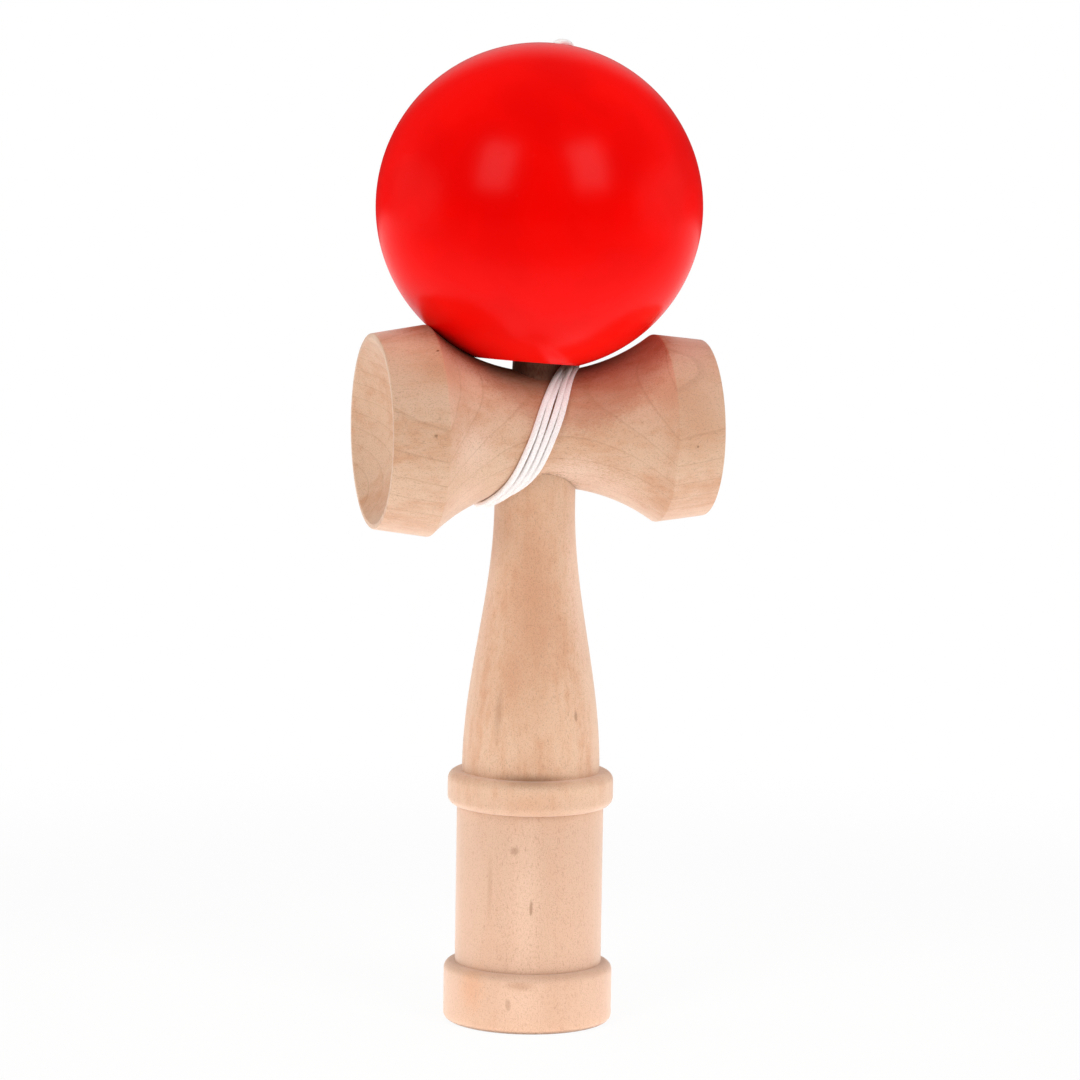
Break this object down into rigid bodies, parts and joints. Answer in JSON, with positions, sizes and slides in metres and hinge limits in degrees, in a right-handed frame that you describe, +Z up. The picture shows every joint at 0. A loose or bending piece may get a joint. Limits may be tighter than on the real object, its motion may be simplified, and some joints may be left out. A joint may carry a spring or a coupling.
{
  "type": "cup and ball toy",
  "caption": "Turned wooden cup and ball toy: handle with a spike, cross-piece with a cup at each end, and a lacquered ball on a wound string that lifts off the spike.",
  "frame": {"origin": "centre of the base's foot, on the handle's axis, on the surface that the toy stands on", "axes": "+Z up the handle to the spike, -X towards the big cup, -Y towards the side seen in the picture, +Y the back, where the string comes out"},
  "size_m": [0.0626, 0.0612, 0.1828],
  "materials": {
    "handle_wood": "bare turned beech, sanded",
    "cross_wood": "bare turned beech, sanded",
    "ball_lacquer": "red lacquer, satin gloss",
    "bead_wood": "bare wood",
    "string": "white twisted cotton"
  },
  "bodies": {
    "handle_set": {"handle": "handle_wood", "cup_cross": "cross_wood", "string_anchor": "string", "string_winding": "string"},
    "string_end": {"stop_bead": "bead_wood", "string_tail": "string", "string_over_ball": "string"},
    "ball": {"ball": "ball_lacquer"}
  },
  "joints": [
    {"name": "ball_lift", "type": "slide", "parent": "handle_set", "child": "string_end", "axis": [0, 0, 1], "range_m": [0, 0.05], "deforming": ["string_over_ball"]},
    {"name": "ball_spin", "type": "hinge", "parent": "string_end", "child": "ball", "pos_m": [0, 0, 0.15184], "axis": [0.0858, 0.0623, 0.9944], "continuous": true}
  ]
}
